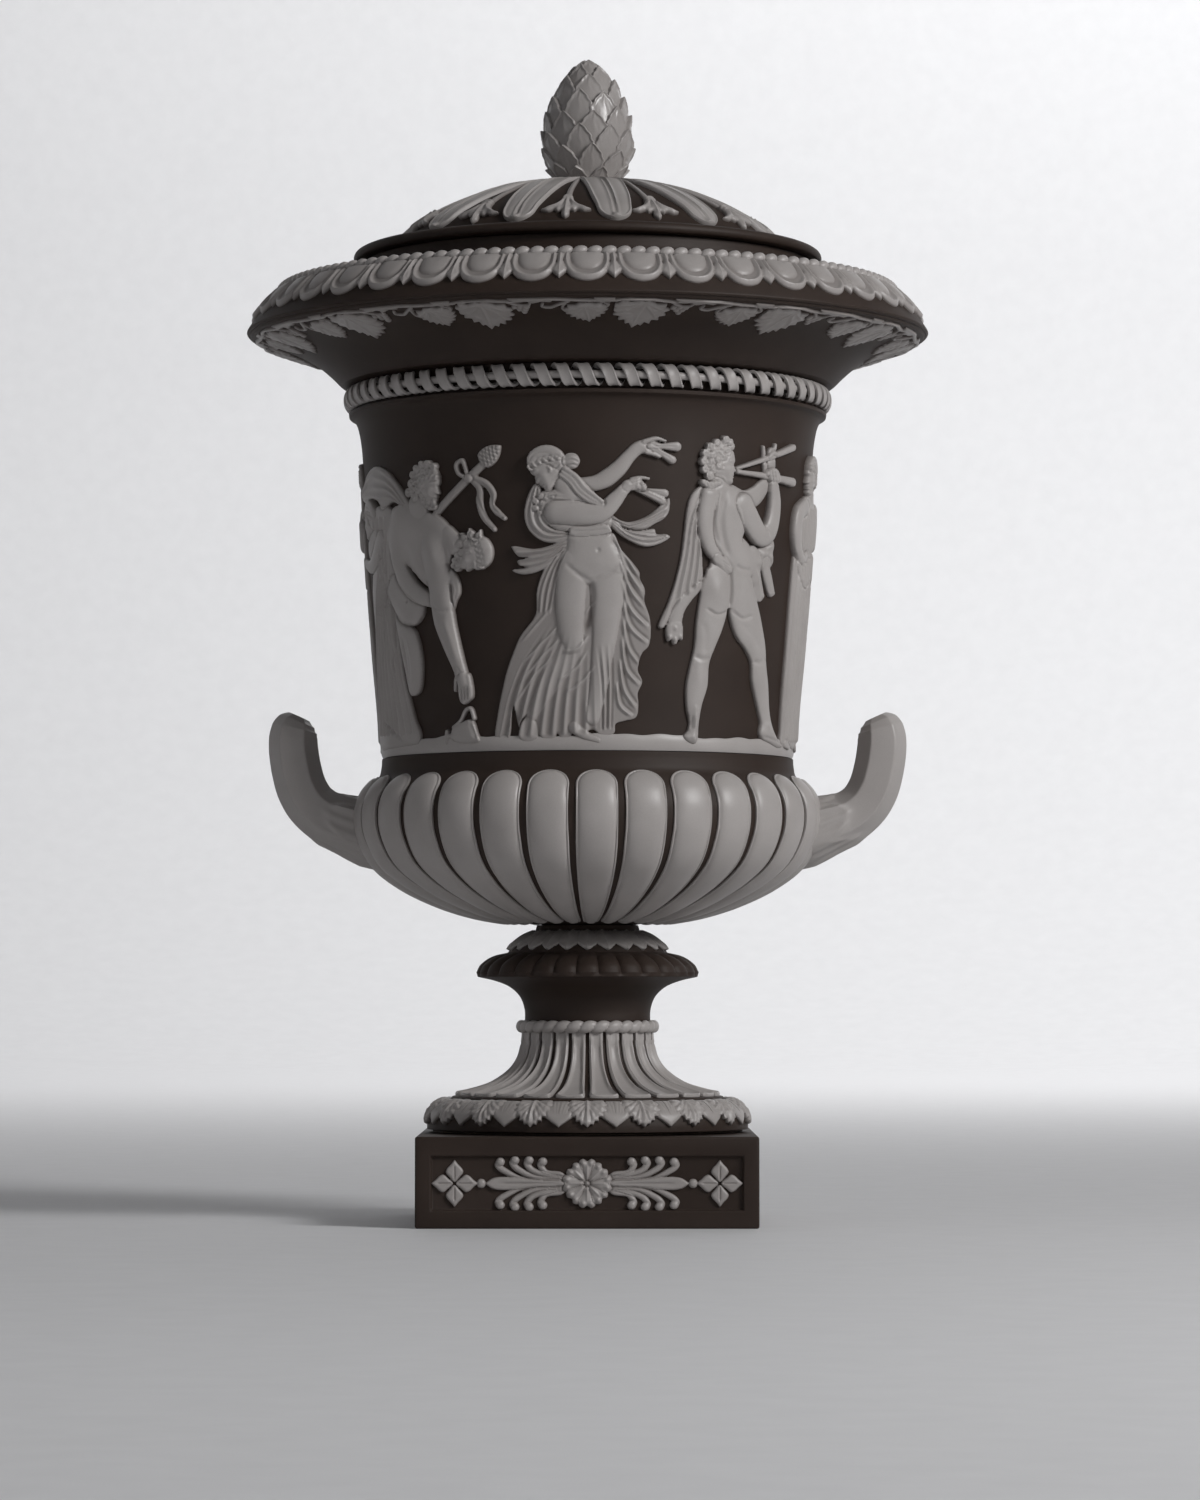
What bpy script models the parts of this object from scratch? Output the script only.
"""A lidded campana vase in dark stoneware with pale applied reliefs, on a square plinth.

Run with: blender --background --python part.py
Blender units are metres, +Z is up and the front faces -Y. The origin is the centre of the plinth's
underside. The tables below are in millimetres, and MM turns them into metres.
"""

import math

import bmesh
import bpy
from mathutils import Matrix, Vector

MM = 0.001
SEGMENTS = 32          # facets round every turned piece that shows
HIDDEN_SEGMENTS = 16   # facets round the small rings inside
GAP = 0.3              # clearance left between pieces that touch
MERGE_M = 0.00001      # merge distance for every welded shape, in metres
FRONT_DEG = -90.0      # direction of the front, from +X

# Driving heights of the stack, from the underside of the plinth
PLINTH_TOP = 35.0
FOOT_BASE = PLINTH_TOP + 1.3
FOOT_TOP = 115.0
BOWL_BASE = FOOT_TOP + 1.6
BOWL_LEDGE = 181.6
GROUND_LINE = 187.8
BELL_TOP = 351.0
COLLAR_TOP = 378.0
LID_SEAT = COLLAR_TOP + GAP
FINIAL_BASE = 411.6
OVERALL_HEIGHT = 460.5

# Square plinth
PLINTH_HALF = 65.7
PLINTH_WALL = 9.0
PANEL_HALF = 59.5
PANEL_LOW = 7.0
PANEL_HIGH = 27.4
PANEL_DEPTH = 1.8
PANEL_CENTRE = (PANEL_LOW + PANEL_HIGH) / 2
BOLT_HOLE = 4.5

# Outer surfaces, as (radius, height) from top to bottom
FOOT_OUTER = [
    (19.0, FOOT_TOP), (20.6, 113.6), (30.2, 107.8), (31.4, 105.5), (37.7, 104.0), (42.3, 100.5),
    (44.0, 97.6), (43.4, 95.9), (36.5, 94.4), (30.7, 92.0), (26.7, 88.4), (24.8, 83.8), (24.7, 74.0),
    (25.2, 69.0), (26.6, 63.3), (30.0, 58.6), (37.4, 53.6), (46.0, 50.4), (53.2, 49.2), (54.4, 47.2),
    (58.0, 46.2), (61.8, 43.2), (63.2, 39.6), (63.2, FOOT_BASE),
]
FOOT_INNER = [
    (55.5, FOOT_BASE), (54.0, 40.5), (46.0, 43.0), (36.0, 46.5), (25.5, 52.5), (20.0, 60.0),
    (18.0, 72.0), (18.0, 86.0), (24.0, 96.0), (15.0, 107.0), (BOLT_HOLE, 107.5),
    (BOLT_HOLE, FOOT_TOP),
]
BOWL_OUTER = [
    (81.2, BOWL_LEDGE), (82.0, 175.6), (85.6, 171.4), (89.0, 166.5), (90.4, 160.0), (89.4, 151.0),
    (84.2, 140.8), (74.6, 133.0), (62.6, 126.8), (47.0, 121.2), (33.0, 118.2), (19.0, BOWL_BASE),
]
BOWL_INNER = [
    (BOLT_HOLE, BOWL_BASE), (BOLT_HOLE, 124.0), (16.0, 124.0), (42.0, 127.6), (58.5, 133.6),
    (70.0, 140.8), (78.0, 149.0), (82.6, 157.5), (81.6, 166.0), (74.2, 172.5), (74.2, 187.0),
    (77.2, 187.0), (77.2, BOWL_LEDGE),
]
BELL_OUTER = [
    (131.5, BELL_TOP), (131.5, 349.5), (124.0, 347.2), (115.0, 343.4), (107.6, 338.8),
    (101.6, 333.4), (97.4, 329.6), (93.2, 328.4), (93.2, 318.6), (92.4, 315.6), (90.2, 310.6),
    (89.2, 302.0), (87.1, 268.0), (83.6, 226.0), (81.0, 200.0), (80.0, BOWL_LEDGE + GAP),
]
BELL_INNER = [
    (77.7, BOWL_LEDGE + GAP), (77.7, 187.4), (74.0, 187.4), (77.4, 226.0), (80.6, 268.0),
    (82.6, 302.0), (85.0, 324.0), (91.0, 336.0), (101.0, 344.6), (111.0, 349.4), (118.0, BELL_TOP),
]
RIM_PROFILE = [
    (88.8, COLLAR_TOP), (89.8, 373.0), (93.0, 369.2), (98.0, 367.4), (117.6, 367.0), (120.6, 366.0),
    (124.4, 363.4), (129.8, 358.6), (133.6, 354.2), (135.0, 351.6), (134.0, BELL_TOP + GAP),
    (118.0, BELL_TOP + GAP), (115.0, 357.0), (108.0, 360.6), (86.0, 361.4), (83.5, 364.5),
    (83.5, COLLAR_TOP),
]
LID_OUTER = [
    (0.0, 411.3), (13.0, 411.0), (26.0, 409.2), (39.5, 406.2), (54.0, 400.4), (68.0, 392.6),
    (70.5, 391.4), (81.4, 388.6), (89.7, 384.7), (92.8, 381.4), (92.6, 379.4), (91.0, LID_SEAT),
]
LID_INNER = [
    (82.3, LID_SEAT), (82.3, 371.0), (78.3, 371.0), (78.3, 382.0), (66.0, 387.4), (52.0, 394.6),
    (36.0, 400.8), (18.0, 404.6), (0.0, 405.6),
]
FINIAL_PROFILE = [
    (0.0, OVERALL_HEIGHT), (4.6, 457.4), (10.0, 451.0), (15.4, 441.0), (17.8, 434.0), (18.4, 427.0),
    (17.0, 419.6), (13.4, 413.2), (11.0, FINIAL_BASE), (0.0, FINIAL_BASE),
]

# Handles: a path in the X-Z plane, as (x, z, radius of the section)
HANDLE_PATH = [
    (84.0, 151.0, 12.6), (92.0, 151.4, 12.0), (99.0, 153.0, 10.6), (106.0, 156.8, 9.6),
    (112.0, 163.0, 9.3), (115.6, 171.0, 9.2), (116.8, 180.0, 9.2), (116.2, 191.0, 9.2),
]
HANDLE_ROOT_CLEARANCE = 3.9   # the root stands this far off the bowl, over its gadroons

# Applied reliefs that ring a wall, as (radius, height) down the wall they lie on
GADROON_WALL = [(83.2, 174.0), (86.4, 170.2)] + BOWL_OUTER[3:11]
GADROON_THICKNESS = 2.6
FLUTE_WALL = [(24.75, 73.2)] + FOOT_OUTER[13:18] + [(51.6, 49.5)]
FLUTE_THICKNESS = 1.4
LEAF_BORDER_WALL = FOOT_OUTER[20:23]
COLLAR_LEAF_WALL = FOOT_OUTER[1:3]
ROPE_RING = [(25.0, 79.0), (27.6, 78.2), (27.6, 75.0), (25.0, 74.2)]
GROUND_WALL = [(80.3, GROUND_LINE), (80.0, BOWL_LEDGE + GAP)]
SPIRAL_BAND = [(93.5, 327.9), (95.4, 326.4), (95.4, 320.4), (93.5, 318.9)]
VINE_WALL = [(127.6, 348.3)] + BELL_OUTER[2:5] + [(104.6, 336.1)]
EGG_WALL = RIM_PROFILE[6:9]
BEAD_RING = [(120.2, 369.2), (123.2, 368.0), (124.0, 365.6), (122.2, 365.4), (119.9, 367.0)]
LID_LEAF_WALL = [(14.6, 410.8)] + LID_OUTER[2:5] + [(67.0, 393.2)]
SPRIG_THICKNESS = 1.4
GROUND_THICKNESS = 2.2

# Figures of the frieze, as rows of (height over the ground line, left edge, right edge), the edges
# in degrees round from the front. Each figure stands twice, half a turn apart.
FIGURE_COLUMN_DEG = 10.0   # widest step between the columns of a plate
FIGURE_ROW = 10.0          # highest step between its rows
FIGURE_GAP = 0.8
FIGURE_THICKNESS = 2.0
FIGURES = {
    "maenad": [
        (0.4, -22.5, 7.0), (10.0, -23.0, 12.5), (28.0, -20.0, 14.0), (46.0, -13.5, 16.0),
        (62.0, -13.0, 13.5), (76.0, -17.0, 18.5), (90.0, -16.0, 20.0), (103.0, -15.0, 22.0),
        (111.0, -9.0, 19.0),
    ],
    "piper": [
        (0.4, 25.5, 58.5), (24.0, 26.0, 55.0), (46.0, 19.0, 52.0), (62.0, 23.0, 56.0),
        (84.0, 25.5, 58.0), (98.0, 28.5, 62.0), (111.0, 29.0, 60.0),
    ],
    "dancer": [
        (0.4, 63.0, 86.0), (30.0, 62.5, 85.0), (62.0, 64.5, 86.0), (86.0, 66.5, 86.0),
        (104.0, 71.0, 84.0),
    ],
    "silenus": [
        (0.4, -84.0, -31.0), (18.0, -83.0, -50.0), (48.0, -85.0, -34.0), (72.0, -88.0, -26.0),
        (88.0, -86.0, -24.0), (98.0, -80.0, -25.0), (110.0, -58.0, -28.0),
    ],
}

# Right half of the ornament of a plinth panel, upper edge only, from the rosette to the end star
PANEL_OUTLINE = [
    (0.0, 9.6), (6.2, 7.4), (8.8, 3.0), (16.6, 9.4), (34.6, 9.6), (38.4, 0.8), (40.4, 1.7),
    (42.2, 0.5), (48.0, 2.4), (50.6, 8.8), (53.2, 2.4), (59.0, 0.0),
]
PANEL_SPRIG_THICKNESS = 1.5

# Hidden fastening: one bolt clamps bowl, foot and plinth together
BOLT_RADIUS = 3.9
BOLT_END = 13.0
BOLT_HEAD_BASE = 126.1
BOLT_HEAD_TOP = 131.4
HEX_RADIUS = 7.5
WASHER_RADIUS = 13.0
WASHER_THICKNESS = 1.5
NUT_HEIGHT = 6.5

DARK = ("dark_stoneware", (0.042, 0.028, 0.022), 0.62, 0.0)
PALE = ("pale_stoneware", (0.55, 0.52, 0.50), 0.5, 0.0)
BRASS = ("brass", (0.55, 0.38, 0.15), 0.35, 1.0)
CORK = ("cork", (0.42, 0.27, 0.15), 0.9, 0.0)


def clear_scene():
    """Empties the scene of the objects that Blender starts with."""
    for old in list(bpy.data.objects):
        bpy.data.objects.remove(old, do_unlink=True)


def collection(name, hidden=False):
    """A new collection in the scene; a hidden one holds cutters."""
    made = bpy.data.collections.new(name)
    made.hide_render = hidden
    bpy.context.scene.collection.children.link(made)
    return made


clear_scene()
VASE = collection("amphora")
CUTTERS = collection("cutters", hidden=True)


def material(finish):
    """The Principled material of a finish (name, colour, roughness, metallic), made once."""
    name, colour, roughness, metallic = finish
    made = bpy.data.materials.get(name)
    if made:
        return made
    made = bpy.data.materials.new(name)
    made.use_nodes = True
    shader = made.node_tree.nodes["Principled BSDF"]
    shader.inputs["Base Color"].default_value = (*colour, 1.0)
    shader.inputs["Roughness"].default_value = roughness
    shader.inputs["Metallic"].default_value = metallic
    return made


def add(name, mesh, finish, group=None):
    """Links a mesh into the scene as one named piece."""
    obj = bpy.data.objects.new(name, mesh)
    obj.data.materials.append(material(finish))
    (group or VASE).objects.link(obj)
    return obj


def as_cutter(obj):
    """Marks an object as a cutting tool that is no piece of the vase."""
    obj.hide_render = True
    obj.display_type = "WIRE"
    return obj


def cut(obj, cutter, operation="DIFFERENCE"):
    """Cuts or joins obj with cutter through a Boolean modifier."""
    boolean = obj.modifiers.new(cutter.name, "BOOLEAN")
    boolean.object = cutter
    boolean.operation = operation
    boolean.solver = "EXACT"


def smooth(mesh, angle_deg=35.0):
    """Shades a mesh smooth and keeps its sharp edges."""
    mesh.shade_smooth()
    mesh.set_sharp_from_angle(angle=math.radians(angle_deg))


def turned(name, profile, finish, group=None, segments=SEGMENTS):
    """A turned piece: a closed profile, outer side downwards, spun about the Z axis."""
    touches_axis = profile[0][0] == 0.0
    count = len(profile)
    edges = [(i, i + 1) for i in range(count - 1)]
    if not touches_axis:
        edges.append((count - 1, 0))
    mesh = bpy.data.meshes.new(name)
    mesh.from_pydata([(r * MM, 0.0, z * MM) for r, z in profile], edges, [])
    obj = add(name, mesh, finish, group)
    screw = obj.modifiers.new("spin", "SCREW")
    screw.steps = segments
    screw.render_steps = segments
    screw.use_merge_vertices = True
    screw.merge_threshold = MERGE_M
    screw.use_smooth_shade = True
    return obj


def normals_along(points):
    """Unit normals of a profile that runs down an outer side, pointing outwards."""
    found = []
    for i in range(len(points)):
        before = Vector(points[max(i - 1, 0)][:2])
        after = Vector(points[min(i + 1, len(points) - 1)][:2])
        run = (after - before).normalized()
        found.append(Vector((-run.y, run.x)))
    return found


def offset(points, distance):
    """A profile moved outwards by a distance."""
    moved = []
    for point, normal in zip(points, normals_along(points)):
        moved.append((point[0] + normal.x * distance, point[1] + normal.y * distance))
    return moved


def band(name, points, thickness, finish, lift=GAP):
    """A thin applied ring that lies on part of a turned wall."""
    outer = offset(points, lift + thickness)
    inner = offset(points, lift)
    return turned(name, outer + inner[::-1], finish)


def at(radius, height, degrees):
    """A point at a radius and height in millimetres and an angle round from the front, in metres."""
    angle = math.radians(FRONT_DEG + degrees)
    return Vector((radius * math.cos(angle), radius * math.sin(angle), height)) * MM


def radius_at(profile, height):
    """Radius of a falling outer profile at a height."""
    for (r0, z0), (r1, z1) in zip(profile, profile[1:]):
        if z1 <= height <= z0 and z0 > z1:
            return r1 + (r0 - r1) * (height - z1) / (z0 - z1)
    return profile[-1][0]


def close_rows(rows):
    """The rows of a figure with more put between them, so that none is far from the next."""
    filled = [rows[0]]
    for before, after in zip(rows, rows[1:]):
        steps = math.ceil((after[0] - before[0]) / FIGURE_ROW)
        for step in range(1, steps + 1):
            part = step / steps
            filled.append([low + (high - low) * part for low, high in zip(before, after)])
    return filled


def figure(name, rows, turn):
    """One figure of the frieze: a curved plate that covers the outline of the relief."""
    build = bmesh.new()
    widest = max(right - left for height, left, right in rows)
    columns = math.ceil(widest / FIGURE_COLUMN_DEG)
    grid = []
    for height, left, right in close_rows(rows)[::-1]:
        z = GROUND_LINE + height
        radius = radius_at(BELL_OUTER, z) + FIGURE_GAP
        step = (right - left) / columns
        angles = [turn + left + i * step for i in range(columns + 1)]
        grid.append([build.verts.new(at(radius, z, angle)) for angle in angles])
    for upper, lower in zip(grid, grid[1:]):
        for i in range(columns):
            build.faces.new((upper[i], lower[i], lower[i + 1], upper[i + 1]))
    mesh = bpy.data.meshes.new(name)
    build.to_mesh(mesh)
    build.free()
    solid = add(name, mesh, PALE).modifiers.new("thickness", "SOLIDIFY")
    solid.thickness = FIGURE_THICKNESS * MM
    solid.offset = 1.0
    solid.use_even_offset = True


def box(name, low, high, group=None):
    """A box between two corners, in millimetres."""
    build = bmesh.new()
    size = Vector(high) - Vector(low)
    centre = (Vector(high) + Vector(low)) / 2
    place = Matrix.Translation(centre * MM) @ Matrix.Diagonal((*(size * MM), 1.0))
    bmesh.ops.create_cube(build, size=1.0, matrix=place)
    mesh = bpy.data.meshes.new(name)
    build.to_mesh(mesh)
    build.free()
    return add(name, mesh, DARK, group)


def prism(name, radius, low, high, sides, finish, group=None):
    """An upright prism or cylinder on the Z axis, in millimetres."""
    build = bmesh.new()
    place = Matrix.Translation((0.0, 0.0, (low + high) / 2 * MM))
    bmesh.ops.create_cone(
        build, cap_ends=True, segments=sides, radius1=radius * MM, radius2=radius * MM,
        depth=(high - low) * MM, matrix=place,
    )
    mesh = bpy.data.meshes.new(name)
    build.to_mesh(mesh)
    build.free()
    return add(name, mesh, finish, group)


def mesh_from_curve(name, curve_object, finish):
    """Replaces a curve object with a welded mesh object in the same place."""
    bpy.context.view_layer.update()
    graph = bpy.context.evaluated_depsgraph_get()
    mesh = bpy.data.meshes.new_from_object(curve_object.evaluated_get(graph))
    weld = bmesh.new()
    weld.from_mesh(mesh)
    bmesh.ops.remove_doubles(weld, verts=weld.verts, dist=MERGE_M)
    bmesh.ops.recalc_face_normals(weld, faces=weld.faces)
    weld.to_mesh(mesh)
    weld.free()
    mesh.materials.clear()
    obj = add(name, mesh, finish)
    obj.matrix_world = curve_object.matrix_world.copy()
    bpy.data.objects.remove(curve_object, do_unlink=True)
    return obj


def make_plinth():
    """The square block: open underneath, with a sunk panel on each face and a bolt hole."""
    plinth = box("plinth", (-PLINTH_HALF, -PLINTH_HALF, 0.0), (PLINTH_HALF, PLINTH_HALF, PLINTH_TOP))
    inside = PLINTH_HALF - PLINTH_WALL
    hollow = box("plinth_hollow", (-inside, -inside, -5.0),
                 (inside, inside, PLINTH_TOP - PLINTH_WALL), CUTTERS)
    cut(plinth, as_cutter(hollow))
    hole = prism("plinth_bolt_hole", BOLT_HOLE, 0.0, PLINTH_TOP + 5.0, 16, DARK, CUTTERS)
    cut(plinth, as_cutter(hole))
    for side in range(4):
        panel = box(f"panel_cutter_{side}", (-PANEL_HALF, -PLINTH_HALF - 5.0, PANEL_LOW),
                    (PANEL_HALF, -PLINTH_HALF + PANEL_DEPTH, PANEL_HIGH), CUTTERS)
        panel.rotation_euler.z = math.radians(90.0 * side)
        cut(plinth, as_cutter(panel))


def panel_outline():
    """Whole outline of the ornament of one panel, mirrored left to right and top to bottom."""
    upper = [(-x, y) for x, y in PANEL_OUTLINE[:0:-1]] + PANEL_OUTLINE
    lower = [(x, -y) for x, y in upper[-2:0:-1]]
    return upper + lower


def make_panel_sprig(name, side):
    """The flat sprig of one panel: rosette, palmettes, beads and end stars in one piece."""
    curve = bpy.data.curves.new(name, "CURVE")
    curve.dimensions = "2D"
    curve.fill_mode = "BOTH"
    curve.extrude = PANEL_SPRIG_THICKNESS / 2 * MM
    outline = panel_outline()
    spline = curve.splines.new("POLY")
    spline.points.add(len(outline) - 1)
    for point, (x, y) in zip(spline.points, outline):
        point.co = (x * MM, y * MM, 0.0, 1.0)
    spline.use_cyclic_u = True
    guide = bpy.data.objects.new(f"{name}_outline", curve)
    VASE.objects.link(guide)
    face = PLINTH_HALF - PANEL_DEPTH + GAP + PANEL_SPRIG_THICKNESS / 2
    upright = Matrix.Rotation(math.radians(90.0), 4, "X")
    place = Matrix.Translation((0.0, -face * MM, PANEL_CENTRE * MM)) @ upright
    guide.matrix_world = Matrix.Rotation(math.radians(90.0 * side), 4, "Z") @ place
    mesh_from_curve(name, guide, PALE)


def make_foot():
    """The turned foot with its overhanging collar, and the sprigs that dress it."""
    turned("foot", FOOT_OUTER + FOOT_INNER, DARK)
    band("foot_flutes", FLUTE_WALL, FLUTE_THICKNESS, PALE)
    band("foot_leaf_border", LEAF_BORDER_WALL, SPRIG_THICKNESS, PALE)
    band("foot_collar_leaves", COLLAR_LEAF_WALL, SPRIG_THICKNESS, PALE)
    turned("foot_rope_ring", ROPE_RING, PALE)
    seal = [(61.0, FOOT_BASE - GAP), (61.0, PLINTH_TOP + GAP), (56.5, PLINTH_TOP + GAP),
            (56.5, FOOT_BASE - GAP)]
    turned("plinth_gasket", seal, CORK, segments=HIDDEN_SEGMENTS)
    pad = [(16.0, BOWL_BASE - GAP), (16.0, FOOT_TOP + GAP), (5.0, FOOT_TOP + GAP),
           (5.0, BOWL_BASE - GAP)]
    turned("foot_gasket", pad, CORK, segments=HIDDEN_SEGMENTS)


def make_handle(name, side):
    """An upswept faceted handle, its root cut to sit over the gadroons of the bowl."""
    curve = bpy.data.curves.new(name, "CURVE")
    curve.dimensions = "3D"
    curve.bevel_depth = MM
    curve.bevel_resolution = 2
    curve.use_fill_caps = True
    spline = curve.splines.new("POLY")
    spline.points.add(len(HANDLE_PATH) - 1)
    for point, (x, z, radius) in zip(spline.points, HANDLE_PATH):
        point.co = (side * x * MM, 0.0, z * MM, 1.0)
        point.radius = radius
    guide = bpy.data.objects.new(f"{name}_path", curve)
    VASE.objects.link(guide)
    handle = mesh_from_curve(name, guide, PALE)
    cut(handle, bpy.data.objects["bowl_envelope"])
    smooth(handle.data)


def make_bowl():
    """The gadrooned bowl with its spigot, and both handles."""
    turned("bowl", BOWL_OUTER + BOWL_INNER, DARK)
    band("bowl_gadroons", GADROON_WALL, GADROON_THICKNESS, PALE)
    wall = offset(BOWL_OUTER, HANDLE_ROOT_CLEARANCE)
    envelope = [(0.0, wall[0][1])] + wall + [(0.0, wall[-1][1])]
    as_cutter(turned("bowl_envelope", envelope, DARK, CUTTERS))
    make_handle("handle_right", 1)
    make_handle("handle_left", -1)


def make_bell():
    """The flared body, its bands and its two rounds of figures."""
    turned("bell", BELL_OUTER + BELL_INNER, DARK)
    band("ground_band", GROUND_WALL, GROUND_THICKNESS, PALE)
    turned("spiral_band", SPIRAL_BAND, PALE)
    band("vine_border", VINE_WALL, SPRIG_THICKNESS, PALE)
    for name, rows in FIGURES.items():
        figure(f"{name}_front", rows, 0.0)
        figure(f"{name}_back", rows, 180.0)


def make_rim():
    """The rim ring that closes the flare and carries the lid, with its two pale mouldings."""
    turned("rim_ring", RIM_PROFILE, DARK)
    band("egg_and_dart_band", EGG_WALL, SPRIG_THICKNESS, PALE)
    turned("bead_ring", BEAD_RING, PALE)


def make_lid():
    """The domed lid with its locating flange, leaves, husks and cone finial."""
    turned("lid", LID_OUTER + LID_INNER, DARK)
    band("lid_leaves", LID_LEAF_WALL, SPRIG_THICKNESS, PALE)
    turned("finial", FINIAL_PROFILE, PALE)


def washer(name, low):
    """A flat round washer on the bolt."""
    high = low + WASHER_THICKNESS
    ring = [(WASHER_RADIUS, high), (WASHER_RADIUS, low), (BOLT_HOLE, low), (BOLT_HOLE, high)]
    turned(name, ring, BRASS, segments=HIDDEN_SEGMENTS)


def make_fastening():
    """The tie bolt with its washers and nut, which holds the three ceramic sections together."""
    bolt = prism("tie_bolt", BOLT_RADIUS, BOLT_END, BOLT_HEAD_BASE + 1.0, 16, BRASS)
    head = prism("bolt_head", HEX_RADIUS, BOLT_HEAD_BASE, BOLT_HEAD_TOP, 6, BRASS, CUTTERS)
    cut(bolt, as_cutter(head), "UNION")
    washer("bolt_washer_upper", 124.0 + GAP)
    washer_low = PLINTH_TOP - PLINTH_WALL - GAP - WASHER_THICKNESS
    washer("bolt_washer_lower", washer_low)
    nut_top = washer_low - GAP
    nut = prism("bolt_nut", HEX_RADIUS, nut_top - NUT_HEIGHT, nut_top, 6, BRASS)
    bore = prism("nut_bore", BOLT_RADIUS + GAP, 0.0, PLINTH_TOP, 16, BRASS, CUTTERS)
    cut(nut, as_cutter(bore))


make_plinth()
for side_index, side_name in enumerate(("front", "right", "back", "left")):
    make_panel_sprig(f"plinth_sprig_{side_name}", side_index)
make_foot()
make_bowl()
make_bell()
make_rim()
make_lid()
make_fastening()
